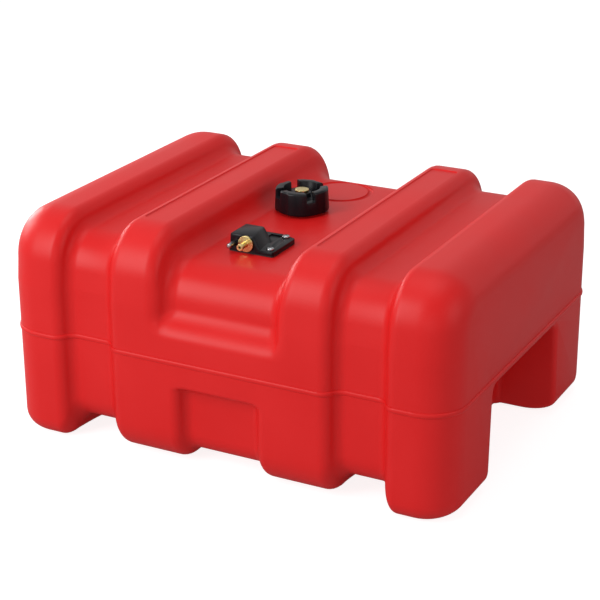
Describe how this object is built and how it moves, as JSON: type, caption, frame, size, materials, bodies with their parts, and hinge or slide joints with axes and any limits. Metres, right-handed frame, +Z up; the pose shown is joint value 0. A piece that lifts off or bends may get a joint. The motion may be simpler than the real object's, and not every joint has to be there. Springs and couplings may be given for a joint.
{
  "type": "portable outboard fuel tank",
  "caption": "Low rectangular moulded fuel tank with strap grooves, end hand holds, a vented screw cap and a fuel outlet with hose connector in a top recess.",
  "frame": {"origin": "middle of the tank's base, on the ground", "axes": "+X along the tank's length to the right, seen from the front; -Y is the front, where the hose connector points; +Z up"},
  "size_m": [0.6036, 0.4766, 0.29],
  "materials": {
    "red_polyethylene": "finely textured, satin",
    "black_plastic": "satin",
    "brass": "turned",
    "stainless_steel": "bright",
    "black_rubber": "matt",
    "natural_plastic": "translucent, unpainted"
  },
  "bodies": {
    "tank": {"tank_shell": "red_polyethylene", "outlet_housing": "black_plastic", "flange_gasket": "black_rubber", "flange_screw_front": "stainless_steel", "flange_screw_back": "stainless_steel", "flange_screw_left": "stainless_steel", "insert_front": "brass", "insert_back": "brass", "insert_left": "brass", "fuel_nipple": "brass", "nipple_seal": "black_rubber", "guide_pin": "stainless_steel", "pickup_tube": "natural_plastic", "pickup_strainer": "black_plastic", "strainer_screen": "stainless_steel"},
    "gasket": {"cap_gasket": "black_rubber"},
    "vent_gasket": {"vent_seal": "black_rubber"},
    "cap": {"fill_cap": "black_plastic"},
    "vent_retainer": {"vent_clip": "stainless_steel"},
    "vent_knob": {"vent_screw": "brass"}
  },
  "joints": [
    {"name": "cap_lift", "type": "slide", "parent": "tank", "child": "gasket", "axis": [0, 0, 1], "range_m": [0, 0.06]},
    {"name": "cap_rise", "type": "slide", "parent": "gasket", "child": "vent_gasket", "axis": [0, 0, 1], "range_m": [0, 0.006]},
    {"name": "cap_turn", "type": "hinge", "parent": "vent_gasket", "child": "cap", "pos_m": [-0.0288, 0.042, 0.2526], "axis": [0, 0, 1], "range_deg": [0, 540]},
    {"name": "vent_rise", "type": "slide", "parent": "cap", "child": "vent_retainer", "axis": [0, 0, 1], "range_m": [0, 0.0025]},
    {"name": "vent_turn", "type": "hinge", "parent": "vent_retainer", "child": "vent_knob", "pos_m": [-0.0288, 0.042, 0.276], "axis": [0, 0, 1], "range_deg": [0, 720]}
  ],
  "couplings": [
    {"joint": "cap_rise", "follows": "cap_turn", "m_per_rad": 0.0006366},
    {"joint": "vent_rise", "follows": "vent_turn", "m_per_rad": 0.0001989}
  ]
}
